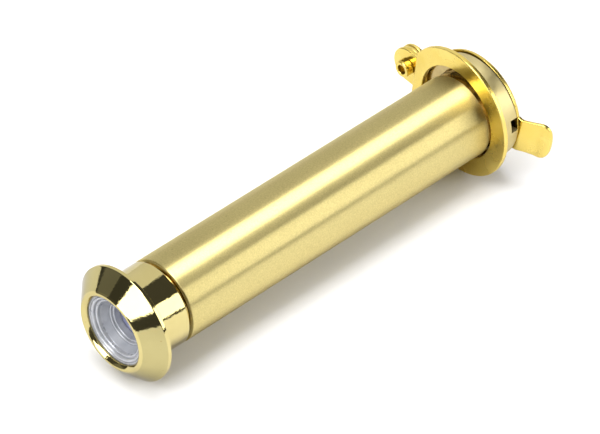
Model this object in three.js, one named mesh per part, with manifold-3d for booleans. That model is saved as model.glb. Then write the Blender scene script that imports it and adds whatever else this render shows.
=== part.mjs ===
// A brass door viewer with a swivel privacy cover, in millimetres.
// The tube lies along +Y: the outside head is at -Y and the inside flange, plate and cover are at +Y.
// Every station along the tube is measured from the back face of the outside head's rim.
import * as THREE from "three";
import { mergeVertices } from "three/addons/utils/BufferGeometryUtils.js";
import Module from "manifold-3d";

const wasm = await Module();
wasm.setup();

// ---- Driving dimensions ----
const ROUND_SIDES = 48; // sides of a full turn on large turned pieces
const SMALL_SIDES = 28; // sides of a full turn on small turned pieces
const LUG_SIDES = 16; // segments on the round end of a lug
const TAB_SIDES = 6; // segments on each curve of the thumb tab
const RUN_GAP = 0.1; // clearance between pieces that slide, turn or seat on each other
const PRESS_GAP = 0.05; // clearance between pieces that are pressed or screwed tight
const EDGE = 0.1; // broken edge on turned pieces
const CUT = 1; // how far a cutting tool reaches past the material

const BARREL_R = 7.0; // outside of the satin sleeve and of the head's collar
const THREAD_R = 6.2; // outside of the male thread
const TUBE_BORE_R = 5.3; // inside of the threaded tube, where the objective lenses sit
const TUBE_END = 49.0; // inner end of the threaded tube

const RIM_R = 9.7; // widest radius of the outside head
const RIM_LAND = 0.6; // straight land on the rim
const RIM_SEAT_R = 7.5; // inner edge of the flat that seats on the door
const LIP_R = 6.35; // crest of the rounded lip round the aperture
const LIP_STATION = -3.55;
const LIP_HALF_WIDTH = 0.27; // the lip's rounded crest, either side of its top
const LIP_ROUNDING = 0.2;
const CONE_TOP_R = 6.9; // where the bevelled face starts, outside the lip
const CONE_TOP_STATION = -3.25;
const APERTURE_R = 5.8;
const APERTURE_STATION = -2.95;
const COLLAR_END = 6.04; // inner end of the head's collar
const HOUSING_R = 6.0; // grey stepped housing inside the head
const HOUSING_FRONT = -2.6;
const HOUSING_END = 3.0;
const SOCKET_START = 3.1; // the threaded tube is pressed into the head from here

// Stepped funnel of the housing, [radius, station] from the aperture down to the throat.
const FUNNEL = [
  [5.6, HOUSING_FRONT],
  [5.25, -2.4],
  [5.14, -2.2],
  [4.82, -1.58],
  [4.69, -1.5],
  [4.48, -1.45],
  [3.64, -0.15],
  [3.53, -0.02],
  [3.3, 0.05],
  [2.98, 0.6],
  [2.9, 0.7],
];
const THROAT_R = FUNNEL.at(-1)[0];
const LENS_POCKET_START = 1.0;
const LENS_POCKET_R = 5.25;

// Objective set, from the aperture inwards. A sag is how far the middle of a face stands off its edge.
const LENS_R = 5.15;
const OBJECTIVE_LENS_1 = { front: 1.2, frontSag: -0.15, back: 2.25, backSag: -0.5 };
const LENS_SPACER_1 = { innerR: 4.3, start: 2.35, end: 4.3 };
const OBJECTIVE_LENS_2 = { front: 4.4, frontSag: 0.6, back: 6.2, backSag: -0.3 };
const LENS_SPACER_2 = { innerR: 4.0, start: 6.3, end: 8.1 };
const OBJECTIVE_LENS_3 = { front: 8.2, frontSag: 0.5, back: 10.4, backSag: -0.4 };
const OBJECTIVE_RETAINER = { innerR: 4.2, start: 10.5, end: 12.3 };
const SPANNER_SLOT_WIDTH = 1.0;
const SPANNER_SLOT_DEPTH = 0.6;

const SLEEVE_START = 6.84;
const SLEEVE_END = 72.4;
const SLEEVE_BORE_R = 6.3;
const NECK_R = 6.75; // polished neck of the sleeve, inside the plate and the flange
const NECK_START = 69.45;

const FLANGE_R = 9.0; // eyepiece flange that clamps the plate to the door
const FLANGE_FRONT = 70.9;
const FLANGE_BACK = 73.8;
const FLANGE_SOCKET_R = NECK_R + PRESS_GAP;
const FLANGE_BACK_EDGE = 0.25;
const EYE_HOLE_R = 4.2;
const EYE_HOLE_CHAMFER_R = 4.9;
const EYE_HOLE_CHAMFER_DEPTH = 0.6;
const COIN_SLOT_WIDTH = 2.3;
const COIN_SLOT_DEPTH = 1.5;
const COIN_SLOT_TURN = THREE.MathUtils.degToRad(-8);

const EYE_LENS_R = 6.15;
const EYE_RETAINER = { innerR: 4.8, start: 65.2, end: 66.6 };
const EYE_LENS = { front: 67.9, frontSag: -1.0, back: 69.0, backSag: 1.0 };
const EYE_SPACER = { innerR: 4.8, start: 70.2, end: SLEEVE_END - RUN_GAP };

const SHEET = 0.8; // thickness of the stamped plate
const PLATE_R = 11.1;
const PLATE_BORE_R = 7.9;
const PLATE_FRONT = 69.5;
const PLATE_SHIFT_X = -0.45; // the loose plate hangs off the tube's axis within its bore clearance
const PLATE_SHIFT_Z = 0.37;
const PLATE_TURN = THREE.MathUtils.degToRad(7); // lifts the lug above the level of the axis
const PLATE_LEAN = THREE.MathUtils.degToRad(2.5); // the plate's face slopes back towards the lug
const LUG_R = 3.1; // rounded end of the plate's lug, about the rivet
const LUG_FRONT = 70.8; // front face of the lug, square to the rivet
const LUG_BACK = LUG_FRONT + SHEET;
const LUG_ROOT = -8.5; // where the lug's outline starts, well inside the round plate
const LUG_JOG_START = -9.9; // the jog between the face and the lug, measured from the plate's centre
const LUG_JOG_END = -10.6;
const PIVOT_OFFSET = 12.2; // from the plate's centre to the rivet's axis

const RIVET_HEAD_R = 1.4;
const RIVET_SHANK_R = 1.15;
const RIVET_BORE_R = 0.8;
const RIVET_FRONT = 69.4;
const RIVET_BACK = 73.5;
const RIVET_CLINCH = 0.4;
const RIVET_ROUND = 0.17; // rounding of the rivet's front rim
const PIVOT_HOLE_R = RIVET_SHANK_R + RUN_GAP;
const WASHER_R = 2.9;
const WASHER_THICKNESS = 0.5;
const COVER_LUG_FRONT = LUG_BACK + WASHER_THICKNESS + 2 * RUN_GAP;

const COVER_SHEET = 0.6;
const COVER_R = 9.1;
const COVER_RIM = 74.1; // front edge of the cover's rim, just clear of the flange
const COVER_EDGE_R = 0.75; // rounded edge between the rim and the dome
const COVER_RIM_DEPTH = 0.2;
const COVER_DOME = 0.5; // rise of the domed middle above the rounded edge
const COVER_TURN = THREE.MathUtils.degToRad(2.5); // the closed cover hangs a little below the lug's line
const COVER_LUG_R = 3.0;
const STRIP_RISE = 0.1; // the arm and the tab join the cover this far behind its front edge
const ARM_RISE_START = 2.15; // the cover's arm steps up between these two distances from the rivet
const ARM_RISE_END = 2.95;
const ARM_HALF_WIDTH = 1.75;
const ARM_SHOULDER = 1.2; // from the rivet to where the arm starts to narrow
const ARM_SHOULDER_HALF = 2.7;
const ARM_MERGE = 1.2; // the arm and the tab reach into the cover's rounded edge by these
const TAB_MERGE = 0.6;
const TAB_LENGTH = 5.5;
const TAB_NECK_HALF = 3.0;
const TAB_END_HALF = 3.5;
const TAB_END_ROUND = 1.6; // length of the tab's rounded end
const TAB_BEND = THREE.MathUtils.degToRad(31); // the thumb tab bends away from the door
const TAB_CREASE = 3.1; // along the tab, where the bend eases
const TAB_END_BEND = THREE.MathUtils.degToRad(22);

// ---- Materials ----
function metal(color, roughness) {
  return new THREE.MeshStandardMaterial({ color, roughness, metalness: 1 });
}

function polishedBrass() {
  return metal(0xe0c46c, 0.08);
}

function satinBrass() {
  return metal(0xd8c07a, 0.35);
}

function greyHousing() {
  return new THREE.MeshStandardMaterial({ color: 0x9a9ca0, roughness: 0.3, metalness: 0.6 });
}

function blackRing() {
  return new THREE.MeshStandardMaterial({ color: 0x18181a, roughness: 0.6, metalness: 0 });
}

function clearGlass() {
  return new THREE.MeshStandardMaterial({
    color: 0xeef2f8,
    roughness: 0.02,
    metalness: 0,
    transparent: true,
    opacity: 0.35,
  });
}

// ---- Helpers ----
function solid(geometry) {
  const positions = geometry.clone();
  positions.deleteAttribute("normal");
  positions.deleteAttribute("uv");
  const merged = mergeVertices(positions, 1e-4);
  return new wasm.Manifold(
    new wasm.Mesh({
      numProp: 3,
      vertProperties: merged.attributes.position.array,
      triVerts: new Uint32Array(merged.index.array),
    }),
  );
}

function geometryOf(body) {
  const mesh = body.getMesh();
  const geometry = new THREE.BufferGeometry();
  geometry.setAttribute("position", new THREE.BufferAttribute(mesh.vertProperties, mesh.numProp));
  geometry.setIndex(new THREE.BufferAttribute(mesh.triVerts, 1));
  geometry.computeVertexNormals();
  return geometry;
}

function named(name, geometry, material) {
  const mesh = new THREE.Mesh(geometry, material);
  mesh.name = name;
  return mesh;
}

// Turns a profile of [radius, station] points about the Y axis. A ring's profile closes on itself,
// and a solid piece's profile starts and ends on the axis. The profile's own winding doesn't matter.
function turned(profile, sides = ROUND_SIDES) {
  const points = profile.map(([radius, station]) => new THREE.Vector2(radius, station));
  if (THREE.ShapeUtils.isClockWise(points)) points.reverse();
  const isRing = points[0].x > 0;
  if (isRing) points.push(points[0].clone());
  const geometry = new THREE.LatheGeometry(points, sides);
  return geometry.rotateY(Math.PI / sides);
}

function ring(innerR, outerR, start, end, sides = ROUND_SIDES) {
  return turned(
    [
      [innerR, start],
      [outerR, start],
      [outerR, end],
      [innerR, end],
    ],
    sides,
  );
}

// Points on a circular arc that bulges by sag between the axis and the radius edgeR.
function lensFace(edgeR, station, sag, steps = 4) {
  const points = [];
  for (let i = 0; i <= steps; i++) {
    const r = (edgeR * i) / steps;
    points.push([r, station + sag * (1 - (r / edgeR) ** 2)]);
  }
  return points;
}

// Points on the concave quarter circle between a flat face at a station and a cylinder.
function filletPoints(cylinderR, station, filletR, steps = 4) {
  const points = [];
  for (let i = 1; i <= steps; i++) {
    const angle = (i / steps) * (Math.PI / 2);
    const r = cylinderR + filletR * (1 - Math.sin(angle));
    points.push([r, station + filletR * (1 - Math.cos(angle))]);
  }
  return points;
}

// A lens between two faces; a positive sag moves the middle of that face towards +Y.
function lens(edgeR, { front, frontSag, back, backSag }) {
  return turned([...lensFace(edgeR, front, frontSag), ...lensFace(edgeR, back, backSag).reverse()]);
}

// Extrudes an outline drawn in X and Z between two stations.
function slab(shape, start, end, sides = ROUND_SIDES) {
  const geometry = new THREE.ExtrudeGeometry(shape, {
    depth: end - start,
    bevelEnabled: false,
    curveSegments: sides,
  });
  return geometry.rotateX(Math.PI / 2).translate(0, end, 0);
}

// Extrudes a side view drawn in X and Y symmetrically across Z.
function sideCut(points, halfWidth) {
  const shape = new THREE.Shape(points.map(([x, y]) => new THREE.Vector2(x, y)));
  const geometry = new THREE.ExtrudeGeometry(shape, { depth: 2 * halfWidth, bevelEnabled: false });
  return geometry.translate(0, 0, -halfWidth);
}

function disc(radius, start, end, centreX = 0, sides = ROUND_SIDES) {
  return turned(
    [
      [0, start],
      [radius, start],
      [radius, end],
      [0, end],
    ],
    sides,
  ).translate(centreX, 0, 0);
}

// The side view of a folded strip: its lower line, then the same line raised by the thickness.
function foldedStrip(line, thickness) {
  const raised = line.map(([x, y]) => [x, y + thickness]).reverse();
  return [...line, ...raised];
}

// ---- Outside head and objective ----
function frontHead() {
  return turned([
    [APERTURE_R, APERTURE_STATION],
    [LIP_R - LIP_HALF_WIDTH, LIP_STATION + LIP_ROUNDING],
    [LIP_R, LIP_STATION],
    [LIP_R + LIP_HALF_WIDTH, LIP_STATION + 0.25 * LIP_ROUNDING],
    [CONE_TOP_R, CONE_TOP_STATION],
    [RIM_R - EDGE, -RIM_LAND - EDGE],
    [RIM_R, -RIM_LAND],
    [RIM_R, -EDGE],
    [RIM_R - EDGE, 0],
    [RIM_SEAT_R, 0],
    ...filletPoints(BARREL_R, 0, RIM_SEAT_R - BARREL_R),
    [BARREL_R, COLLAR_END - EDGE],
    [BARREL_R - EDGE, COLLAR_END],
    [THREAD_R + PRESS_GAP, COLLAR_END],
    [THREAD_R + PRESS_GAP, SOCKET_START],
    [HOUSING_R + PRESS_GAP, SOCKET_START],
    [HOUSING_R + PRESS_GAP, HOUSING_FRONT - RUN_GAP],
    [APERTURE_R, HOUSING_FRONT - RUN_GAP],
  ]);
}

function threadedTube() {
  return ring(TUBE_BORE_R, THREAD_R, SOCKET_START + RUN_GAP, TUBE_END);
}

function lensHousing() {
  return turned([
    [HOUSING_R, HOUSING_FRONT],
    ...FUNNEL,
    [THROAT_R, LENS_POCKET_START],
    [LENS_POCKET_R, LENS_POCKET_START],
    [LENS_POCKET_R, HOUSING_END],
    [HOUSING_R, HOUSING_END],
  ]);
}

function spacer(outerR, { innerR, start, end }) {
  return ring(innerR, outerR, start, end);
}

// A screwed ring with a spanner slot across its back face.
function retainer(outerR, { innerR, start, end }) {
  const slotTool = new THREE.BoxGeometry(SPANNER_SLOT_WIDTH, 2 * SPANNER_SLOT_DEPTH, 2 * (outerR + CUT));
  slotTool.translate(0, end, 0);
  return geometryOf(solid(ring(innerR, outerR, start, end)).subtract(solid(slotTool)));
}

// ---- Inside barrel and eyepiece ----
function satinSleeve() {
  return turned([
    [SLEEVE_BORE_R, SLEEVE_START],
    [BARREL_R - EDGE, SLEEVE_START],
    [BARREL_R, SLEEVE_START + EDGE],
    [BARREL_R, NECK_START - EDGE],
    [BARREL_R - EDGE, NECK_START],
    [NECK_R, NECK_START],
    [NECK_R, SLEEVE_END],
    [SLEEVE_BORE_R, SLEEVE_END],
  ]);
}

function eyepieceFlange() {
  const body = solid(
    turned([
      [FLANGE_SOCKET_R, FLANGE_FRONT],
      [FLANGE_R - EDGE, FLANGE_FRONT],
      [FLANGE_R, FLANGE_FRONT + EDGE],
      [FLANGE_R, FLANGE_BACK - FLANGE_BACK_EDGE],
      [FLANGE_R - FLANGE_BACK_EDGE, FLANGE_BACK],
      [EYE_HOLE_CHAMFER_R, FLANGE_BACK],
      [EYE_HOLE_R, FLANGE_BACK - EYE_HOLE_CHAMFER_DEPTH],
      [EYE_HOLE_R, SLEEVE_END + RUN_GAP],
      [FLANGE_SOCKET_R, SLEEVE_END + RUN_GAP],
    ]),
  );
  const slot = new THREE.BoxGeometry(2 * (FLANGE_R + CUT), 2 * COIN_SLOT_DEPTH, COIN_SLOT_WIDTH);
  slot.rotateY(COIN_SLOT_TURN).translate(0, FLANGE_BACK, 0);
  return geometryOf(body.subtract(solid(slot)));
}

// ---- Door plate and rivet, about the plate's own centre ----
function lugOutline(endX) {
  const shape = new THREE.Shape();
  shape.moveTo(endX, -LUG_R);
  shape.lineTo(endX, LUG_R);
  shape.lineTo(-PIVOT_OFFSET, LUG_R);
  shape.absarc(-PIVOT_OFFSET, 0, LUG_R, Math.PI / 2, (3 * Math.PI) / 2, false);
  shape.lineTo(endX, -LUG_R);
  return shape;
}

function basePlate() {
  const start = PLATE_FRONT - 2 * CUT;
  const end = LUG_BACK + CUT;
  const lug = solid(slab(lugOutline(LUG_ROOT), start, end, LUG_SIDES));
  const plan = solid(disc(PLATE_R, start, end)).add(lug);
  const slope = Math.tan(PLATE_LEAN);
  const line = [
    [-PIVOT_OFFSET - LUG_R - CUT, LUG_FRONT],
    [LUG_JOG_END, LUG_FRONT],
    [LUG_JOG_START, PLATE_FRONT - LUG_JOG_START * slope],
    [PLATE_R + CUT, PLATE_FRONT - (PLATE_R + CUT) * slope],
  ];
  const sheet = solid(sideCut(foldedStrip(line, SHEET), PLATE_R + CUT));
  const bore = solid(disc(PLATE_BORE_R, start - CUT, end + CUT));
  const pivotHole = solid(disc(PIVOT_HOLE_R, start - CUT, end + CUT, -PIVOT_OFFSET, SMALL_SIDES));
  return geometryOf(plan.intersect(sheet).subtract(bore).subtract(pivotHole));
}

function pivotWasher() {
  const start = LUG_BACK + RUN_GAP;
  return ring(PIVOT_HOLE_R, WASHER_R, start, start + WASHER_THICKNESS, SMALL_SIDES);
}

function pivotRivet() {
  const headBack = LUG_FRONT - RUN_GAP;
  return turned(
    [
      [RIVET_BORE_R, RIVET_FRONT + RIVET_ROUND],
      [RIVET_BORE_R + RIVET_ROUND, RIVET_FRONT],
      [RIVET_HEAD_R - RIVET_ROUND, RIVET_FRONT],
      [RIVET_HEAD_R, RIVET_FRONT + RIVET_ROUND],
      [RIVET_HEAD_R, headBack],
      [RIVET_SHANK_R, headBack],
      [RIVET_SHANK_R, RIVET_BACK - RIVET_CLINCH],
      [RIVET_HEAD_R, RIVET_BACK - RIVET_CLINCH],
      [RIVET_HEAD_R - EDGE, RIVET_BACK],
      [RIVET_BORE_R, RIVET_BACK],
    ],
    SMALL_SIDES,
  );
}

// ---- Swing cover, about the rivet's axis: the arm and the disc lie towards +X ----
function coverShell() {
  const edgeStart = COVER_RIM + COVER_RIM_DEPTH;
  const outer = [[COVER_R, COVER_RIM]];
  const inner = [[COVER_R - COVER_SHEET, COVER_RIM]];
  const arcSteps = 4;
  const domeSteps = 4;
  const domeR = COVER_R - COVER_EDGE_R;
  const innerEdgeR = COVER_EDGE_R - COVER_SHEET;
  for (let i = 0; i <= arcSteps; i++) {
    const angle = (i / arcSteps) * (Math.PI / 2);
    outer.push([domeR + COVER_EDGE_R * Math.cos(angle), edgeStart + COVER_EDGE_R * Math.sin(angle)]);
    inner.push([domeR + innerEdgeR * Math.cos(angle), edgeStart + innerEdgeR * Math.sin(angle)]);
  }
  for (let i = 1; i <= domeSteps; i++) {
    const r = domeR * (1 - i / domeSteps);
    const rise = COVER_DOME * (1 - (r / domeR) ** 2);
    outer.push([r, edgeStart + COVER_EDGE_R + rise]);
    inner.push([r, edgeStart + COVER_EDGE_R - COVER_SHEET + rise]);
  }
  return solid(turned([...outer.reverse(), ...inner]).translate(PIVOT_OFFSET, 0, 0));
}

function coverArm() {
  const plan = new THREE.Shape();
  const mergeX = PIVOT_OFFSET - COVER_R + ARM_MERGE;
  plan.moveTo(0, COVER_LUG_R);
  plan.absarc(0, 0, COVER_LUG_R, Math.PI / 2, (3 * Math.PI) / 2, false);
  plan.lineTo(ARM_SHOULDER, -ARM_SHOULDER_HALF);
  plan.lineTo(ARM_RISE_START, -ARM_HALF_WIDTH);
  plan.lineTo(mergeX, -ARM_HALF_WIDTH);
  plan.lineTo(mergeX, ARM_HALF_WIDTH);
  plan.lineTo(ARM_RISE_START, ARM_HALF_WIDTH);
  plan.lineTo(ARM_SHOULDER, ARM_SHOULDER_HALF);
  const line = [
    [-COVER_LUG_R - CUT, COVER_LUG_FRONT],
    [ARM_RISE_START, COVER_LUG_FRONT],
    [ARM_RISE_END, COVER_RIM + STRIP_RISE],
    [mergeX + CUT, COVER_RIM + STRIP_RISE],
  ];
  const sheet = solid(sideCut(foldedStrip(line, COVER_SHEET), COVER_LUG_R + CUT));
  const blank = solid(slab(plan, COVER_LUG_FRONT - CUT, COVER_RIM + 2 * CUT, LUG_SIDES));
  return blank.intersect(sheet);
}

function coverTab() {
  const rootX = PIVOT_OFFSET + COVER_R - TAB_MERGE;
  const reach = TAB_LENGTH * Math.cos(TAB_BEND) + TAB_MERGE;
  const endX = rootX + reach;
  const plan = new THREE.Shape();
  plan.moveTo(rootX, -TAB_NECK_HALF);
  plan.bezierCurveTo(
    rootX + 0.45 * reach, -TAB_NECK_HALF + 0.15,
    rootX + 0.6 * reach, -TAB_END_HALF,
    endX - TAB_END_ROUND, -TAB_END_HALF,
  );
  plan.bezierCurveTo(endX - 0.2, -TAB_END_HALF, endX, -1.9, endX, 0);
  plan.bezierCurveTo(endX, 1.9, endX - 0.2, TAB_END_HALF, endX - TAB_END_ROUND, TAB_END_HALF);
  plan.bezierCurveTo(
    rootX + 0.6 * reach, TAB_END_HALF,
    rootX + 0.45 * reach, TAB_NECK_HALF - 0.15,
    rootX, TAB_NECK_HALF,
  );
  const bendX = rootX + TAB_MERGE + EDGE;
  const creaseX = bendX + TAB_CREASE * Math.cos(TAB_BEND);
  const bendY = COVER_RIM + STRIP_RISE;
  const creaseY = bendY + (creaseX - bendX) * Math.tan(TAB_BEND);
  const endY = creaseY + (endX + CUT - creaseX) * Math.tan(TAB_END_BEND);
  const line = [
    [rootX - CUT, bendY],
    [bendX, bendY],
    [creaseX, creaseY],
    [endX + CUT, endY],
  ];
  const sheet = solid(sideCut(foldedStrip(line, COVER_SHEET), TAB_END_HALF + CUT));
  return solid(slab(plan, COVER_RIM - CUT, endY + 2 * CUT, TAB_SIDES)).intersect(sheet);
}

function swingCover() {
  const holeEnd = COVER_LUG_FRONT + COVER_SHEET + CUT;
  const hole = solid(disc(PIVOT_HOLE_R, COVER_LUG_FRONT - CUT, holeEnd, 0, SMALL_SIDES));
  return geometryOf(coverShell().add(coverArm()).add(coverTab()).subtract(hole));
}

// ---- Assembly ----
const outsideViewer = new THREE.Group();
outsideViewer.add(
  named("front_head", frontHead(), polishedBrass()),
  named("threaded_tube", threadedTube(), polishedBrass()),
  named("lens_housing", lensHousing(), greyHousing()),
  named("objective_lens_1", lens(LENS_R, OBJECTIVE_LENS_1), clearGlass()),
  named("lens_spacer_1", spacer(LENS_R, LENS_SPACER_1), blackRing()),
  named("objective_lens_2", lens(LENS_R, OBJECTIVE_LENS_2), clearGlass()),
  named("lens_spacer_2", spacer(LENS_R, LENS_SPACER_2), blackRing()),
  named("objective_lens_3", lens(LENS_R, OBJECTIVE_LENS_3), clearGlass()),
  named("objective_retaining_ring", retainer(LENS_R, OBJECTIVE_RETAINER), blackRing()),
);

const insideBarrel = new THREE.Group();
insideBarrel.add(
  named("satin_sleeve", satinSleeve(), satinBrass()),
  named("eyepiece_flange", eyepieceFlange(), polishedBrass()),
  named("eye_retaining_ring", retainer(EYE_LENS_R, EYE_RETAINER), blackRing()),
  named("eye_lens", lens(EYE_LENS_R, EYE_LENS), clearGlass()),
  named("eye_spacer", spacer(EYE_LENS_R, EYE_SPACER), blackRing()),
);

const doorPlate = new THREE.Group();
doorPlate.position.set(PLATE_SHIFT_X, 0, PLATE_SHIFT_Z);
doorPlate.rotation.y = PLATE_TURN;
const rivet = named("pivot_rivet", pivotRivet(), polishedBrass());
rivet.position.x = -PIVOT_OFFSET;
const washer = named("pivot_washer", pivotWasher(), polishedBrass());
washer.position.x = -PIVOT_OFFSET;
doorPlate.add(named("base_plate", basePlate(), polishedBrass()), rivet, washer);

const cover = named("swing_cover", swingCover(), polishedBrass());
cover.position.x = -PIVOT_OFFSET;
cover.rotation.y = COVER_TURN;
doorPlate.add(cover);

const viewer = new THREE.Group();
viewer.add(outsideViewer, insideBarrel, doorPlate);

// The origin is the middle of the underside, on the surface that the viewer lies on.
viewer.updateMatrixWorld(true);
const box = new THREE.Box3().setFromObject(viewer, true);
const middle = box.getCenter(new THREE.Vector3());
viewer.position.set(-middle.x, -middle.y, -box.min.z);

const part = new THREE.Group();
part.add(viewer);

export default part;
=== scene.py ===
"""A brass door viewer with a swivel privacy cover, lying on a pale floor in soft studio light."""

import math

import bmesh
import bpy
from mathutils import Matrix, Vector


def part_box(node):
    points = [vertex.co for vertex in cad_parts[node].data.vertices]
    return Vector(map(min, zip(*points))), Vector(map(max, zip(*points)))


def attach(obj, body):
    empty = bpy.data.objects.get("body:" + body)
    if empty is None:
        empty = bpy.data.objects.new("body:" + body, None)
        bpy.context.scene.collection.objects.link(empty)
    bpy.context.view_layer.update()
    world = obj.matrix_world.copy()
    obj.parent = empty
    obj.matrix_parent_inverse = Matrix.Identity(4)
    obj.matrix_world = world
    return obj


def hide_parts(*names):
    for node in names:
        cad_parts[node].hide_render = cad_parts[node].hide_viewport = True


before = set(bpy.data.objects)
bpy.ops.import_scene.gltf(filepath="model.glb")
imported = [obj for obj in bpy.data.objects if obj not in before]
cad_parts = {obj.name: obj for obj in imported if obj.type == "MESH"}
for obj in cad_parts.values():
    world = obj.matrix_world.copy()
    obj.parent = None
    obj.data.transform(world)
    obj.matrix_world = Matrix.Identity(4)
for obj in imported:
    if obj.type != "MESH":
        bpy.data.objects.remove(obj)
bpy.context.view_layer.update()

MM = 0.001
ROUND = 192  # sides of a large turned piece
SMALL = 96  # sides of a small turned piece
SHARP = math.radians(32)  # edges that turn more than this are drawn sharp
MIX_COLOUR_A, MIX_COLOUR_B, MIX_COLOUR_RESULT = 6, 7, 2  # a Mix node's colour sockets
MIX_FACTOR, MIX_VALUE_A, MIX_VALUE_B = 0, 2, 3  # a Mix node's number sockets


# ---- Places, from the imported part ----
def middle(node):
    low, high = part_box(node)
    return (low + high) / 2


SLEEVE_START = 6.84
tube = middle("satin_sleeve")
station_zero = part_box("satin_sleeve")[0].y - SLEEVE_START * MM
rivet = middle("pivot_rivet")
PIVOT_OFFSET = 12.2
PLATE_TURN = math.radians(7)
COVER_TURN = math.radians(9.5)
PLATE_LEAN = math.tan(math.radians(2.5))


def seat(x, z, turn=0.0):
    """The frame of a piece: its axis runs along +Y through x and z, from the back of the head's rim."""
    return Matrix.Translation((x, station_zero, z)) @ Matrix.Rotation(turn, 4, "Y")


ON_TUBE = seat(tube.x, tube.z)
ON_RIVET = seat(rivet.x, rivet.z, PLATE_TURN)
ON_PLATE = ON_RIVET @ Matrix.Translation((PIVOT_OFFSET * MM, 0, 0))
ON_COVER = seat(rivet.x, rivet.z, COVER_TURN)


# ---- Shapes, built in millimetres about their own axis ----
def soften(corners, steps=5):
    """Rounds each (across, along, radius) corner of an open or closed line and returns the points."""
    points = []
    count = len(corners)
    for i, (a, b, radius) in enumerate(corners):
        here = Vector((a, b))
        if radius <= 0:
            points.append(here)
            continue
        before = Vector(corners[i - 1][:2]) - here
        after = Vector(corners[(i + 1) % count][:2]) - here
        reach = min(radius, 0.49 * before.length, 0.49 * after.length)
        start = here + before.normalized() * reach
        end = here + after.normalized() * reach
        for k in range(steps + 1):
            t = k / steps
            points.append(start * (1 - t) ** 2 + here * 2 * t * (1 - t) + end * t * t)
    return [(p.x, p.y) for p in points]


def object_from(name, bm):
    bmesh.ops.remove_doubles(bm, verts=bm.verts, dist=1e-5)
    bmesh.ops.recalc_face_normals(bm, faces=bm.faces)
    mesh = bpy.data.meshes.new(name)
    bm.to_mesh(mesh)
    bm.free()
    piece = bpy.data.objects.new(name, mesh)
    bpy.context.scene.collection.objects.link(piece)
    return piece


def lathe(name, profile, sides=ROUND, closed=True):
    """Turns a profile of (radius, station) points about the Y axis. U runs along the axis, V around it."""
    bm = bmesh.new()
    uv = bm.loops.layers.uv.new("UVMap")
    rows = []
    for i in range(sides):
        angle = 2 * math.pi * i / sides
        s, c = math.sin(angle), math.cos(angle)
        rows.append([bm.verts.new((r * s, y, r * c)) for r, y in profile])
    last = len(profile) if closed else len(profile) - 1
    for i in range(sides):
        for j in range(last):
            k = (j + 1) % len(profile)
            here, there = rows[i], rows[(i + 1) % sides]
            v0, v1 = i / sides, (i + 1) / sides
            if profile[j][0] < 1e-9:
                corners = [(here[j], j, v0), (there[k], k, v1), (here[k], k, v0)]
            elif profile[k][0] < 1e-9:
                corners = [(here[j], j, v0), (there[j], j, v1), (here[k], k, v0)]
            else:
                corners = [(here[j], j, v0), (there[j], j, v1), (there[k], k, v1), (here[k], k, v0)]
            face = bm.faces.new([corner[0] for corner in corners])
            for loop, (_, n, v) in zip(face.loops, corners):
                loop[uv].uv = (profile[n][1] * 0.1, v)
    return object_from(name, bm)


def prism(name, outline, start, end):
    """Extrudes an outline of (x, z) points between two stations."""
    bm = bmesh.new()
    near = [bm.verts.new((x, start, z)) for x, z in outline]
    far = [bm.verts.new((x, end, z)) for x, z in outline]
    bm.faces.new(near)
    bm.faces.new(list(reversed(far)))
    for i in range(len(outline)):
        k = (i + 1) % len(outline)
        bm.faces.new([near[i], far[i], far[k], near[k]])
    return object_from(name, bm)


def circle(radius, centre_x=0.0):
    turns = [2 * math.pi * i / SMALL for i in range(SMALL)]
    return [(centre_x + radius * math.cos(a), radius * math.sin(a)) for a in turns]


def inset(outline, distance):
    """Moves a closed counter-clockwise outline inwards by a small distance."""
    moved = []
    count = len(outline)
    for i in range(count):
        a, b, c = (Vector(outline[(i + k) % count]) for k in (-1, 0, 1))
        one, two = (b - a).normalized(), (c - b).normalized()
        inward = Vector((-one.y - two.y, one.x + two.x))
        if inward.length < 1e-9:
            inward = Vector((-one.y, one.x))
        inward.normalize()
        stretch = 1 / max(0.5, inward.dot(Vector((-one.y, one.x))))
        moved.append(tuple(b + inward * distance * stretch))
    return moved


def sheet_rings(outline, thickness, edge, steps=4):
    """Rings of (x, height, z) round a sheet's rounded edge, from its front face to its back face."""
    rings = []
    for k in range(steps + 1):
        angle = (k / steps) * math.pi / 2
        ring = inset(outline, edge * (1 - math.sin(angle)))
        rings.append([(x, edge * (1 - math.cos(angle)), z) for x, z in ring])
    for k in range(steps + 1):
        angle = (k / steps) * math.pi / 2
        ring = inset(outline, edge * (1 - math.cos(angle)))
        rings.append([(x, thickness - edge * (1 - math.sin(angle)), z) for x, z in ring])
    return rings


def bent_sheet(name, outline, thickness, edge, folds, height, bore=None):
    """A sheet with rounded edges, split along the fold lines and lifted by height(x).
    With a bore, the outline's points must go once round the origin."""
    bm = bmesh.new()
    loops = [[bm.verts.new(p) for p in ring] for ring in sheet_rings(outline, thickness, edge)]
    count = len(outline)

    def skin(one, two):
        for i in range(count):
            k = (i + 1) % count
            bm.faces.new([one[i], one[k], two[k], two[i]])

    for one, two in zip(loops, loops[1:]):
        skin(one, two)
    if bore is None:
        bm.faces.new(loops[0])
        bm.faces.new(loops[-1])
    else:
        turns = [math.atan2(z, x) for x, z in outline]
        bore_steps = 8
        inner = []
        for k in range(bore_steps + 1):
            t = k / bore_steps
            r = bore + edge * (2 * t - 1) ** 4
            y = thickness * t
            inner.append([bm.verts.new((r * math.cos(a), y, r * math.sin(a))) for a in turns])
        for one, two in zip(inner, inner[1:]):
            skin(one, two)
        skin(loops[0], inner[0])
        skin(loops[-1], inner[-1])
    for x in folds:
        parts = bm.verts[:] + bm.edges[:] + bm.faces[:]
        bmesh.ops.bisect_plane(bm, geom=parts, dist=1e-6, plane_co=(x, 0, 0), plane_no=(1, 0, 0))
    for vert in bm.verts:
        vert.co.y += height(vert.co.x)
    return object_from(name, bm)


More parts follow.
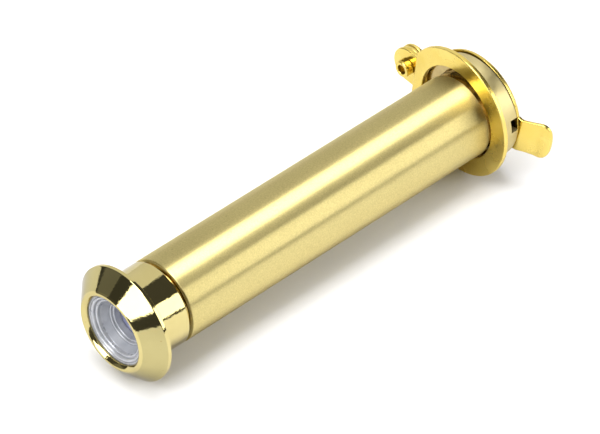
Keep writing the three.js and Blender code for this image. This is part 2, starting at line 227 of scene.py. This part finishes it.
def bake(piece):
    graph = bpy.context.evaluated_depsgraph_get()
    made = bpy.data.meshes.new_from_object(piece.evaluated_get(graph))
    old = piece.data
    piece.modifiers.clear()
    piece.data = made
    bpy.data.meshes.remove(old)


def combine(piece, tool, operation):
    step = piece.modifiers.new("combine", "BOOLEAN")
    step.solver = "EXACT"
    step.operation = operation
    step.object = tool
    bake(piece)
    bpy.data.objects.remove(tool, do_unlink=True)


def painted(piece, material, chosen):
    """Gives the faces whose centre in millimetres passes the test another material."""
    piece.data.materials.append(material)
    for face in piece.data.polygons:
        centre = face.center / MM
        if chosen(math.hypot(centre.x, centre.z), centre.y):
            face.material_index = len(piece.data.materials) - 1


def finished(piece, where, material, body, slot, *nodes):
    """Scales a piece to metres, shades it, puts it in place and ties it to the frame."""
    mesh = piece.data
    mesh.transform(Matrix.Scale(MM, 4))
    bm = bmesh.new()
    bm.from_mesh(mesh)
    for face in bm.faces:
        face.smooth = True
    for edge in bm.edges:
        edge.smooth = edge.calc_face_angle(0.0) < SHARP
    bm.to_mesh(mesh)
    bm.free()
    mesh.materials.clear()
    mesh.materials.append(material)
    piece.matrix_world = where
    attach(piece, body)
    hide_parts(*nodes)
    return piece


# ---- Materials ----
def math_step(tree, operation, *values):
    """A Math node in a tree: numbers are typed in and sockets are linked."""
    step = tree.nodes.new("ShaderNodeMath")
    step.operation = operation
    for socket, value in zip(step.inputs, values):
        if isinstance(value, (int, float)):
            socket.default_value = value
        else:
            tree.links.new(value, socket)
    return step.outputs["Value"]


class Paint:
    """A node material with short calls for its nodes."""

    def __init__(self, name):
        self.material = bpy.data.materials.new(name)
        self.material.use_nodes = True
        self.tree = self.material.node_tree
        self.shader = self.tree.nodes["Principled BSDF"]
        coordinates = self.tree.nodes.new("ShaderNodeTexCoord")
        self.place = coordinates.outputs["Object"]
        self.wrap = coordinates.outputs["UV"]

    def node(self, kind, **settings):
        made = self.tree.nodes.new(kind)
        for key, value in settings.items():
            setattr(made, key, value)
        return made

    def link(self, source, target):
        self.tree.links.new(source, target)

    def scaled(self, scale, source=None):
        step = self.node("ShaderNodeMapping")
        step.inputs["Scale"].default_value = scale
        self.link(source or self.place, step.inputs["Vector"])
        return step.outputs["Vector"]

    def noise(self, scale, detail=3.0, roughness=0.55, source=None):
        step = self.node("ShaderNodeTexNoise")
        step.inputs["Scale"].default_value = 1.0
        step.inputs["Detail"].default_value = detail
        step.inputs["Roughness"].default_value = roughness
        self.link(self.scaled(scale, source), step.inputs["Vector"])
        return step.outputs["Fac"]

    def spots(self, scale, radius):
        """1 inside sparse small spots, 0 elsewhere."""
        step = self.node("ShaderNodeTexVoronoi", feature="F1")
        step.inputs["Scale"].default_value = 1.0
        step.inputs["Randomness"].default_value = 1.0
        self.link(self.scaled(scale), step.inputs["Vector"])
        near = self.ranged(step.outputs["Distance"], radius, radius * 0.4, 0.0, 1.0)
        hue = self.node("ShaderNodeSeparateColor")
        self.link(step.outputs["Color"], hue.inputs["Color"])
        some = self.ranged(hue.outputs["Red"], 0.8, 0.82, 0.0, 1.0)
        return self.math("MULTIPLY", near, some)

    def ranged(self, source, low, high, to_low, to_high):
        step = self.node("ShaderNodeMapRange")
        limits = {"From Min": low, "From Max": high, "To Min": to_low, "To Max": to_high}
        for name, value in limits.items():
            step.inputs[name].default_value = value
        self.link(source, step.inputs["Value"])
        return step.outputs["Result"]

    def math(self, operation, one, two):
        return math_step(self.tree, operation, one, two)

    def ramp(self, source, *stops):
        step = self.node("ShaderNodeValToRGB")
        elements = step.color_ramp.elements
        while len(elements) < len(stops):
            elements.new(0.5)
        for element, (position, colour) in zip(elements, stops):
            element.position = position
            element.color = (*colour, 1)
        self.link(source, step.inputs["Fac"])
        return step.outputs["Color"]

    def darkened(self, colour, mask, dark):
        step = self.node("ShaderNodeMix", data_type="RGBA")
        self.link(mask, step.inputs["Factor"])
        self.link(colour, step.inputs[MIX_COLOUR_A])
        step.inputs[MIX_COLOUR_B].default_value = (*dark, 1)
        return step.outputs[MIX_COLOUR_RESULT]

    def bump(self, height, distance, before=None):
        step = self.node("ShaderNodeBump")
        step.inputs["Strength"].default_value = 1.0
        step.inputs["Distance"].default_value = distance
        self.link(height, step.inputs["Height"])
        if before is not None:
            self.link(before, step.inputs["Normal"])
        return step.outputs["Normal"]

    def clouded(self, cloud, dark, light):
        """A colour that drifts between two tints with a noise."""
        return self.ramp(cloud, (0.3, dark), (0.7, light))

    def set(self, **values):
        for key, value in values.items():
            socket = self.shader.inputs[key.replace("_", " ")]
            if hasattr(value, "is_output"):
                self.link(value, socket)
            else:
                socket.default_value = value


BRASS = (0.63, 0.535, 0.235)
BRASS_DEEP = (0.57, 0.48, 0.20)
# The head's bevel: the same polished brass painted darker, as painted shade on the reflections in the bevel.
SHADED_BEVEL_BRASS = (0.49, 0.425, 0.19)
SHADED_BEVEL_DEEP = (0.44, 0.38, 0.165)
YELLOW_BRASS = (0.80, 0.63, 0.18)
YELLOW_DEEP = (0.70, 0.52, 0.11)
PALE_BRASS = (0.68, 0.58, 0.30)
PALE_DEEP = (0.52, 0.43, 0.19)
SATIN_BRASS = (0.77, 0.65, 0.28)
SATIN_DEEP = (0.58, 0.485, 0.195)
BRASS_STAIN = (0.36, 0.27, 0.10)


def polished_brass(name, rough, wobble, tint, deep):
    """Brass of one gloss: a faint cloudiness, a slight ripple that frays its reflections, and a few pits."""
    paint = Paint(name)
    cloud = paint.noise((160,) * 3, 4)
    fine = paint.noise((3200,) * 3, 2)
    pits = paint.spots((900,) * 3, 0.12)
    colour = paint.clouded(cloud, deep, tint)
    paint.set(Base_Color=paint.darkened(colour, pits, BRASS_STAIN), Metallic=1.0)
    paint.set(Roughness=paint.ranged(cloud, 0.3, 0.7, rough * 0.7, rough * 1.4))
    paint.set(Specular_Tint=(0.72, 0.72, 0.75, 1))
    ripple = paint.bump(paint.noise((1100,) * 3, 3, 0.6), wobble)
    paint.set(Normal=paint.bump(fine, wobble * 0.3, ripple))
    return paint.material


def satin_brass():
    """Brushed round the barrel, so that its highlights run along it."""
    paint = Paint("satin brass")
    brushed = paint.noise((60, 160, 1), 5, 0.7, paint.wrap)
    grain = paint.noise((4200,) * 3, 4, 0.75)
    cloud = paint.noise((110,) * 3, 4)
    pits = paint.spots((650,) * 3, 0.09)
    colour = paint.clouded(grain, SATIN_DEEP, SATIN_BRASS)
    paint.set(Base_Color=paint.darkened(colour, pits, BRASS_STAIN), Metallic=1.0, Anisotropic=0.97)
    half_brushed, half_cloud = (paint.math("MULTIPLY", each, 0.5) for each in (brushed, cloud))
    mixed = paint.math("ADD", half_brushed, half_cloud)
    paint.set(Roughness=paint.ranged(mixed, 0.3, 0.7, 0.36, 0.42))
    tangent = paint.node("ShaderNodeTangent", direction_type="UV_MAP", uv_map="UVMap")
    paint.set(Tangent=tangent.outputs["Tangent"])
    paint.set(Specular_Tint=(0.6, 0.6, 0.65, 1))
    paint.set(Normal=paint.bump(grain, 6e-6, paint.bump(brushed, 2e-6)))
    return paint.material


def simple_material(name, grain, dark, light, metallic, rough, relief):
    """A plain material whose colour, roughness and relief follow one noise of (scale, detail)."""
    paint = Paint(name)
    scale, detail = grain
    cloud = paint.noise((scale,) * 3, detail)
    paint.set(Base_Color=paint.clouded(cloud, dark, light), Metallic=metallic)
    paint.set(Roughness=paint.ranged(cloud, 0.3, 0.7, *rough), Normal=paint.bump(cloud, relief))
    return paint.material


# Painted shade: the thread is the head's polished brass, painted darker and more orange as shade deep in the
# gap behind the collar.
def shaded_thread_brass():
    return simple_material(
        "thread brass, painted darker as shade", (500, 4), (0.52, 0.35, 0.09), (0.66, 0.47, 0.14), 1.0, (0.10, 0.2), 4e-6
    )


# Painted shade: a dark brown brass for the sleeve's neck and the flange's face behind the plate, where the
# plate and its bore shade them.
def shaded_neck_brass():
    return simple_material(
        "neck brass, painted dark as shade", (700, 4), (0.36, 0.27, 0.11), (0.48, 0.37, 0.16), 1.0, (0.10, 0.2), 4e-6
    )


def grey_housing(name, dark, light, metallic, rough):
    """The housing's grey, glossy on the raised rings and dull on the cone between them, where it is also
    painted darker as shade.
    """
    return simple_material(name, (900, 3), dark, light, metallic, (rough, rough + 0.08), 3e-6)


def black_ring():
    return simple_material(
        "black ring", (1500, 3), (0.02, 0.02, 0.023), (0.04, 0.04, 0.045), 0.0, (0.4, 0.6), 8e-6
    )


def slate_ring():
    return simple_material(
        "slate ring", (1500, 3), (0.36, 0.38, 0.55), (0.44, 0.46, 0.64), 0.0, (0.3, 0.5), 8e-6
    )


def lens_glass(name, dark, light, transmission):
    """Glass, clear at a transmission of 1 and half opaque like a thick coating at less."""
    paint = Paint(name)
    cloud = paint.noise((400,) * 3, 4)
    paint.set(Base_Color=paint.clouded(cloud, dark, light), Metallic=0.0)
    paint.set(Roughness=paint.ranged(cloud, 0.4, 0.7, 0.0, 0.03))
    paint.set(IOR=1.62, Transmission_Weight=transmission)
    return paint.material


POLISHED = polished_brass("polished brass", 0.045, 2.0e-5, BRASS, BRASS_DEEP)
SHADED_BEVEL = polished_brass("bevel brass, painted darker as shade", 0.05, 1.1e-5, SHADED_BEVEL_BRASS, SHADED_BEVEL_DEEP)
STAMPED = polished_brass("stamped brass", 0.24, 2.4e-5, YELLOW_BRASS, YELLOW_DEEP)
TURNED = polished_brass("turned brass", 0.42, 1.6e-5, PALE_BRASS, PALE_DEEP)
SATIN = satin_brass()
SHADED_THREAD = shaded_thread_brass()
SHADED_NECK = shaded_neck_brass()
GREY = grey_housing("grey housing", (0.38, 0.39, 0.42), (0.46, 0.47, 0.50), 0.5, 0.26)
# The cone between the rings: dull, and painted darker as painted shade.
DULL_SHADED_GREY = grey_housing("dull grey housing with painted shade", (0.24, 0.25, 0.28), (0.30, 0.31, 0.34), 0.0, 0.5)
BLACK = black_ring()
SLATE = slate_ring()
GLASS = lens_glass("lens glass", (0.84, 0.84, 0.98), (0.90, 0.90, 1.0), 1.0)
COATED = lens_glass("coated lens glass", (0.30, 0.33, 0.52), (0.40, 0.43, 0.66), 0.45)


# ---- Outside head ----
def front_head():
    corners = [
        (5.8, -2.95, 0.06),
        (6.16, -3.44, 0.0),
        (6.35, -3.53, 0.1),
        (6.6, -3.5, 0.1),
        (6.88, -3.27, 0.0),
        (9.6, -0.72, 0.0),
        (9.7, -0.62, 0.08),
        (9.7, 0.0, 0.12),
        (7.5, 0.0, 0.0),
        (7.13, 0.13, 0.0),
        (7.0, 0.5, 0.0),
        (7.0, 6.04, 0.12),
        (6.25, 6.04, 0.05),
        (6.25, 3.1, 0.0),
        (6.05, 3.1, 0.0),
        (6.05, -2.7, 0.0),
        (5.8, -2.7, 0.0),
    ]
    head = lathe("visual_front_head", soften(corners))
    finished(head, ON_TUBE, POLISHED, "outside_viewer", "polished_brass", "front_head")
    # Painted shade: the bevel cone gets the darker copy of the head's brass.
    painted(head, SHADED_BEVEL, lambda r, y: 6.9 < r < 9.66 and y < -0.6)


def threaded_tube():
    """The male thread: a helical ridge at a lead of 1 mm on a tube of 6.2 mm radius."""
    bore, crest, depth, start, end = 5.3, 6.2, 0.42, 3.2, 49.0
    plain_start, plain_end, plain_ridge = 6.2, end - 0.5, 0.15  # where the ridge runs out at both ends
    flat, flank = 1.3, 3.6  # how broad the ridge's crest is and how steep its flanks are
    step, sides = 0.125, 72
    steps = [start + step * k for k in range(int((end - start) / step) + 1)]
    bm = bmesh.new()
    rows = []
    for i in range(sides):
        angle = 2 * math.pi * i / sides
        s, c = math.sin(angle), math.cos(angle)
        row = [bm.verts.new((bore * s, steps[0], bore * c))]
        for y in steps:
            phase = (y - i / sides) % 1.0
            ridge = max(0.0, min(1.0, flat - abs(phase - 0.5) * flank))
            if y < plain_start or y > plain_end:
                ridge = min(ridge, plain_ridge)
            r = crest - depth * (1 - ridge)
            row.append(bm.verts.new((r * s, y, r * c)))
        row.append(bm.verts.new((bore * s, steps[-1], bore * c)))
        rows.append(row)
    for i in range(sides):
        here, there = rows[i], rows[(i + 1) % sides]
        for j in range(len(here)):
            k = (j + 1) % len(here)
            bm.faces.new([here[j], there[j], there[k], here[k]])
    tube_piece = object_from("visual_threaded_tube", bm)
    # The thread gets the brass with painted shade.
    finished(tube_piece, ON_TUBE, SHADED_THREAD, "outside_viewer", "polished_brass", "threaded_tube")


def lens_housing():
    corners = [
        (6.0, -2.6, 0.05),
        (5.6, -2.6, 0.06),
        (5.5, -2.36, 0.04),
        (5.44, -2.56, 0.12),
        (5.04, -2.46, 0.2),
        (4.97, -2.0, 0.04),
        (4.84, -1.96, 0.04),
        (4.8, -2.16, 0.12),
        (4.52, -2.06, 0.14),
        (4.44, -1.5, 0.04),
        (3.74, -0.45, 0.1),
        (3.68, -0.3, 0.03),
        (3.6, -0.46, 0.08),
        (3.4, -0.4, 0.09),
        (3.34, 0.0, 0.03),
        (3.24, -0.1, 0.06),
        (3.06, -0.04, 0.08),
        (3.0, 0.36, 0.03),
        (2.9, 0.72, 0.04),
        (2.9, 1.0, 0.0),
        (5.25, 1.0, 0.0),
        (5.25, 3.0, 0.0),
        (6.0, 3.0, 0.05),
    ]
    housing = lathe("visual_lens_housing", soften(corners, 4))
    finished(housing, ON_TUBE, GREY, "outside_viewer", "grey_housing", "lens_housing")
    # Painted shade: the cone between the raised rings gets the darker, dull grey.
    painted(housing, DULL_SHADED_GREY, lambda r, y: 3.7 < r < 4.42 and y < 0)


def lens(name, material, edge, front, front_sag, back, back_sag, body, node):
    """A lens by its edge radius, the stations of its two edges and how far each face's middle stands off."""
    steps = 24
    radii = [edge * k / steps for k in range(steps + 1)]
    profile = [(r, front + front_sag * (1 - (r / edge) ** 2)) for r in radii]
    profile += [(r, back + back_sag * (1 - (r / edge) ** 2)) for r in reversed(radii)]
    glass = lathe(name, profile, ROUND, closed=False)
    finished(glass, ON_TUBE, material, body, "lens_glass", node)


# ---- Inside barrel ----
def satin_sleeve():
    outer = [(6.3, 6.84, 0.0), (7.0, 6.84, 0.12), (7.0, 69.45, 0.1), (6.75, 69.45, 0.0)]
    outer += [(6.75, 72.4, 0.0), (6.3, 72.4, 0.0)]
    sleeve = lathe("visual_satin_sleeve", soften(outer))
    finished(sleeve, ON_TUBE, SATIN, "inside_barrel", "satin_brass", "satin_sleeve")
    # Painted shade: the neck under the plate's bore gets the dark brown brass.
    painted(sleeve, SHADED_NECK, lambda r, y: y > 69.4)


def eyepiece_flange():
    corners = [
        (6.8, 70.9, 0.0),
        (9.0, 70.9, 0.12),
        (9.0, 73.8, 0.3),
        (4.9, 73.8, 0.08),
        (4.2, 73.2, 0.08),
        (4.2, 72.5, 0.0),
        (6.8, 72.5, 0.0),
    ]
    flange = lathe("visual_eyepiece_flange", soften(corners))
    half = 1.15
    slot_outline = [(-11, -half), (11, -half), (11, half), (-11, half)]
    turn = Matrix.Rotation(math.radians(-8), 4, "Y")
    tool = prism("slot", slot_outline, 72.3, 75.3)
    tool.data.transform(turn)
    combine(flange, tool, "DIFFERENCE")
    finished(flange, ON_TUBE, TURNED, "inside_barrel", "polished_brass", "eyepiece_flange")
    # Painted shade: the flange's front face behind the plate gets the dark brown brass.
    painted(flange, SHADED_NECK, lambda r, y: y < 71.0 and r < 8.9)


# ---- Door plate, rivet and washer ----
def plate_outline():
    """A disc with a tapered lug that ends in a half circle about the rivet."""
    lug_r, plate_r, lug_steps = 3.1, 11.1, 40
    meet = math.sqrt(plate_r**2 - lug_r**2)
    start = math.atan2(lug_r, meet)
    points = []
    for k in range(ROUND + 1):
        angle = -(math.pi - start) + (2 * math.pi - 2 * start) * k / ROUND
        points.append((plate_r * math.cos(angle), plate_r * math.sin(angle)))
    points.append((-(meet + PIVOT_OFFSET) / 2, lug_r))
    for k in range(lug_steps + 1):
        angle = math.pi / 2 + math.pi * k / lug_steps
        points.append((-PIVOT_OFFSET + lug_r * math.cos(angle), lug_r * math.sin(angle)))
    points.append((-(meet + PIVOT_OFFSET) / 2, -lug_r))
    return points


def smooth_step(t):
    t = max(0.0, min(1.0, t))
    return t * t * (3 - 2 * t)


def base_plate():
    jog_start, jog_end, lug_front, front = -9.8, -10.7, 70.8, 69.5
    thickness, edge, bore, hole, jog_steps = 0.8, 0.14, 7.9, 1.25, 10

    def height(x):
        leaning = front - x * PLATE_LEAN
        return leaning + (lug_front - leaning) * smooth_step((jog_start - x) / (jog_start - jog_end))

    folds = [jog_start + (jog_end - jog_start) * k / jog_steps for k in range(jog_steps + 1)]
    plate = bent_sheet("visual_base_plate", plate_outline(), thickness, edge, folds, height, bore)
    combine(plate, prism("hole", circle(hole, -PIVOT_OFFSET), 68, 74), "DIFFERENCE")
    finished(plate, ON_PLATE, STAMPED, "door_plate", "polished_brass", "base_plate")


def pivot_rivet():
    corners = [
        (0.8, 69.4, 0.16),
        (1.4, 69.4, 0.2),
        (1.4, 70.7, 0.05),
        (1.15, 70.7, 0.0),
        (1.15, 73.1, 0.0),
        (1.4, 73.1, 0.05),
        (1.4, 73.5, 0.15),
        (0.8, 73.5, 0.1),
    ]
    piece = lathe("visual_pivot_rivet", soften(corners), SMALL)
    finished(piece, ON_RIVET, STAMPED, "door_plate", "polished_brass", "pivot_rivet")


def pivot_washer():
    corners = [(1.25, 71.7, 0.0), (2.9, 71.7, 0.1), (2.9, 72.2, 0.1), (1.25, 72.2, 0.0)]
    piece = lathe("visual_pivot_washer", soften(corners), SMALL)
    finished(piece, ON_RIVET, STAMPED, "door_plate", "polished_brass", "pivot_washer")


# ---- Swing cover, about the rivet ----
COVER_RIM = 74.1
COVER_SHEET = 0.6
COVER_R = 9.1
LUG_STATION = 72.3  # front face of the lug round the rivet
ARM_STATION = 74.2  # front face of the arm and of the tab's root


def cover_shell():
    edge_start, edge_r, dome = 74.3, 0.75, 0.5
    dome_steps, edge_steps = 30, 8
    dome_r = COVER_R - edge_r
    inner_r = edge_r - COVER_SHEET
    outer, inner = [], []
    for k in range(dome_steps + 1):
        r = dome_r * k / dome_steps
        rise = dome * (1 - (r / dome_r) ** 2)
        outer.append((r, edge_start + edge_r + rise))
        inner.append((r, edge_start + inner_r + rise))
    for k in range(1, edge_steps + 1):
        angle = (1 - k / edge_steps) * math.pi / 2
        outer.append((dome_r + edge_r * math.cos(angle), edge_start + edge_r * math.sin(angle)))
        inner.append((dome_r + inner_r * math.cos(angle), edge_start + inner_r * math.sin(angle)))
    inside = COVER_R - COVER_SHEET
    rim = soften([(COVER_R, 74.25, 0.0), (COVER_R, COVER_RIM, 0.14), (inside, COVER_RIM, 0.0)])[:-1]
    rim += [(inside + 0.1, COVER_RIM), (inside, COVER_RIM + 0.08)]
    profile = outer + rim + inner[::-1]
    shell = lathe("visual_swing_cover", profile, ROUND, closed=False)
    shell.data.transform(Matrix.Translation((PIVOT_OFFSET, 0, 0)))
    return shell


def bend_between(points):
    """A height that runs through (x, y) points with rounded bends."""
    ends, bend = (0, len(points) - 1), 0.45
    line = soften([(x, y, 0.0 if i in ends else bend) for i, (x, y) in enumerate(points)], 8)

    def height(x):
        for (x0, y0), (x1, y1) in zip(line, line[1:]):
            if x <= x1:
                return y0 + (y1 - y0) * (x - x0) / (x1 - x0)
        (x0, y0), (x1, y1) = line[-2:]
        return y1 + (y1 - y0) * (x - x1) / (x1 - x0)

    return height, [x for x, _ in line[1:-1]]


def cover_arm():
    lug_r, half, end = 3.0, 1.75, PIVOT_OFFSET - COVER_R + 0.5
    round_start, round_turn, round_steps = math.radians(80), math.radians(200), 48
    corners = [(end, -half, 0.0), (end, half, 0.0), (2.4, half, 0.5), (1.2, 2.7, 0.5)]
    outline = soften(corners, 6)
    for k in range(round_steps + 1):
        angle = round_start + round_turn * k / round_steps
        outline.append((lug_r * math.cos(angle), lug_r * math.sin(angle)))
    outline += [(x, -z) for x, z in reversed(soften(corners, 6)[2:])]
    jog = [(-4, LUG_STATION), (2.15, LUG_STATION), (2.95, ARM_STATION), (5, ARM_STATION)]
    height, folds = bend_between(jog)
    arm = bent_sheet("arm", outline, COVER_SHEET, 0.12, folds, height)
    combine(arm, prism("hole", circle(1.25), 71, 75), "DIFFERENCE")
    return arm


def cubic(a, b, c, d, steps):
    """Points of a cubic curve after its first point."""
    points = []
    for k in range(1, steps + 1):
        t = k / steps
        w = ((1 - t) ** 3, 3 * t * (1 - t) ** 2, 3 * t * t * (1 - t), t**3)
        points.append(tuple(sum(f * p[n] for f, p in zip(w, (a, b, c, d))) for n in (0, 1)))
    return points


def cover_tab():
    """The thumb tab: it flares at its root and is bent up twice."""
    root = PIVOT_OFFSET + COVER_R - 0.6
    bend, end_bend = math.radians(33), math.radians(18)
    reach = 5.6 * math.cos(bend) + 0.75
    end = root + reach
    flare, neck, wide = 3.45, 3.1, 3.55
    side = cubic(
        (root, -flare),
        (root + 0.25 * reach, -neck),
        (root + 0.55 * reach, -wide + 0.1),
        (end - 1.8, -wide),
        12,
    )
    tip = cubic((end - 1.8, -wide), (end - 0.5, -wide), (end, -2.3), (end, 0), 16)
    half = [(root, -flare)] + side + tip
    outline = half + [(x, -z) for x, z in reversed(half[:-1])]
    start = root + 0.7
    crease = start + 3.1 * math.cos(bend)
    crease_y = ARM_STATION + (crease - start) * math.tan(bend)
    end_y = crease_y + (end + 1 - crease) * math.tan(end_bend)
    flat = [(root - 1, ARM_STATION), (start, ARM_STATION)]
    height, folds = bend_between(flat + [(crease, crease_y), (end + 1, end_y)])
    return bent_sheet("tab", outline, COVER_SHEET, 0.14, folds, height)


def swing_cover():
    cover = cover_shell()
    combine(cover, cover_arm(), "UNION")
    combine(cover, cover_tab(), "UNION")
    finished(cover, ON_COVER, STAMPED, "privacy_cover", "polished_brass", "swing_cover")


FRONT_LENS = ("outside_viewer", "objective_lens_1")  # body and CAD node
EYE_LENS = ("inside_barrel", "eye_lens")

front_head()
threaded_tube()
lens_housing()
lens("visual_objective_lens_1", COATED, 5.15, 1.2, -0.15, 2.25, -0.5, *FRONT_LENS)
satin_sleeve()
eyepiece_flange()
lens("visual_eye_lens", GLASS, 6.15, 67.9, -1.0, 69.0, 1.0, *EYE_LENS)
base_plate()
pivot_rivet()
pivot_washer()
swing_cover()

KEPT = {
    "lens_spacer_1": SLATE,
    "lens_spacer_2": SLATE,
    "objective_retaining_ring": BLACK,
    "eye_retaining_ring": BLACK,
    "eye_spacer": BLACK,
    "objective_lens_2": GLASS,
    "objective_lens_3": GLASS,
}
for node, material in KEPT.items():
    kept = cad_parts[node]
    kept.data.materials.clear()
    kept.data.materials.append(material)


# ---- Floor: it touches the plate's rim and the head's rim ----
RIM_CONTACT = 0.3  # how far before its back face the rim touches the floor
FLOOR_GAP = 0.01
FLOOR_SIZE = 3.0


def floor():
    plate_low, head_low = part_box("base_plate")[0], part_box("front_head")[0]
    plate_y = middle("base_plate").y
    head_y = station_zero - RIM_CONTACT * MM
    slope = (head_low.z - plate_low.z) / (head_y - plate_y)
    bm = bmesh.new()
    bmesh.ops.create_grid(bm, x_segments=24, y_segments=24, size=FLOOR_SIZE)
    for vert in bm.verts:
        vert.co.z = plate_low.z + (vert.co.y - plate_y) * slope - FLOOR_GAP * MM
    piece = object_from("floor", bm)
    paint = Paint("pale floor")
    cloud = paint.noise((40,) * 3, 4)
    paint.set(Base_Color=paint.clouded(cloud, (0.72, 0.72, 0.735), (0.74, 0.74, 0.755)), Roughness=0.6)
    paint.set(Specular_IOR_Level=0.2)
    piece.data.materials.append(paint.material)


floor()


# ---- Studio: soft boxes drawn on the world by direction ----
def studio():
    world = bpy.data.worlds.new("studio")
    bpy.context.scene.world = world
    world.use_nodes = True
    tree = world.node_tree
    nodes, links = tree.nodes, tree.links
    background = nodes["Background"]
    direction = nodes.new("ShaderNodeTexCoord").outputs["Generated"]
    split = nodes.new("ShaderNodeSeparateXYZ")
    links.new(direction, split.inputs["Vector"])
    x, y, z = split.outputs

    def math_node(operation, *values):
        return math_step(tree, operation, *values)

    def edge(value, at, width):
        """0 below the value at and 1 above it, with a soft step of this width."""
        step = nodes.new("ShaderNodeMapRange")
        step.interpolation_type = "SMOOTHSTEP"
        step.inputs["From Min"].default_value = at - width / 2
        step.inputs["From Max"].default_value = at + width / 2
        links.new(value, step.inputs["Value"])
        return step.outputs["Result"]

    def between(value, low, high, soft):
        below = math_node("SUBTRACT", 1.0, edge(value, high, soft))
        return math_node("MULTIPLY", edge(value, low, soft), below)

    degrees = 180 / math.pi
    across = math_node("MULTIPLY", math_node("ARCTAN2", x, z), degrees)  # tilt from straight up to +X
    from_front = math_node("ARCTAN2", x, math_node("MULTIPLY", y, -1.0))
    round_about = math_node("MULTIPLY", from_front, degrees)  # turn from -Y to +X
    rise = math_node("MULTIPLY", math_node("ARCSINE", z), degrees)

    def soft_box(one, two, level):
        return math_node("MULTIPLY", math_node("MULTIPLY", one, two), level)

    # In turn: front, overhead, its dim right side, right, pale left reflector, dim front left reflector.
    boxes = [
        soft_box(between(round_about, -19, 23, 2), between(rise, 16, 62, 2), 5.4),
        soft_box(between(across, -18, 13, 3), between(y, -0.6, 0.36, 0.04), 6.4),
        soft_box(between(across, 13, 42, 4), between(y, -0.6, 0.15, 0.1), 1.2),
        soft_box(between(across, 43, 84, 1.5), between(y, 0.2, 0.85, 0.04), 3.2),
        soft_box(between(across, -96, -18, 3), between(y, 0.0, 0.95, 0.1), 0.94),
        soft_box(between(round_about, -66, -42, 2), between(rise, 3, 28, 3), 0.17),
    ]
    total = 0.08  # the dim room between the boxes
    for each in boxes:
        total = math_node("ADD", total, each)
    above = edge(z, 0.0, 0.004)
    sky = math_node("MULTIPLY", total, above)
    ground = math_node("SUBTRACT", 1.0, above)
    level = math_node("ADD", sky, ground)
    seen = nodes.new("ShaderNodeLightPath").outputs["Is Camera Ray"]
    mix = nodes.new("ShaderNodeMix")
    links.new(seen, mix.inputs[MIX_FACTOR])
    links.new(level, mix.inputs[MIX_VALUE_A])
    mix.inputs[MIX_VALUE_B].default_value = 1.0
    links.new(mix.outputs["Result"], background.inputs["Strength"])
    background.inputs["Color"].default_value = (1, 1, 1, 1)


studio()


# ---- Camera ----
AZIMUTH, ELEVATION = math.radians(46.3), math.radians(40.99)
FOCAL_LENGTH = 262.67
AIM_STATION = 36.8  # where along the barrel the camera's distance is measured from
FROM_AIM = Vector((0.36444, -0.34976, 0.43749))  # metres
back = Vector(
    (
        math.sin(AZIMUTH) * math.cos(ELEVATION),
        -math.cos(AZIMUTH) * math.cos(ELEVATION),
        math.sin(ELEVATION),
    )
)
camera_data = bpy.data.cameras.new("camera")
camera_data.sensor_width = 36
camera_data.lens = FOCAL_LENGTH
camera_data.clip_start, camera_data.clip_end = 0.01, 20
camera = bpy.data.objects.new("camera", camera_data)
bpy.context.scene.collection.objects.link(camera)
aim = Vector((tube.x, station_zero + AIM_STATION * MM, tube.z))
camera.location = aim + FROM_AIM
camera.rotation_mode = "QUATERNION"
camera.rotation_quaternion = (-back).to_track_quat("-Z", "Y")
bpy.context.scene.camera = camera
bpy.context.scene.view_settings.view_transform = "Standard"
bpy.context.scene.view_settings.look = "None"
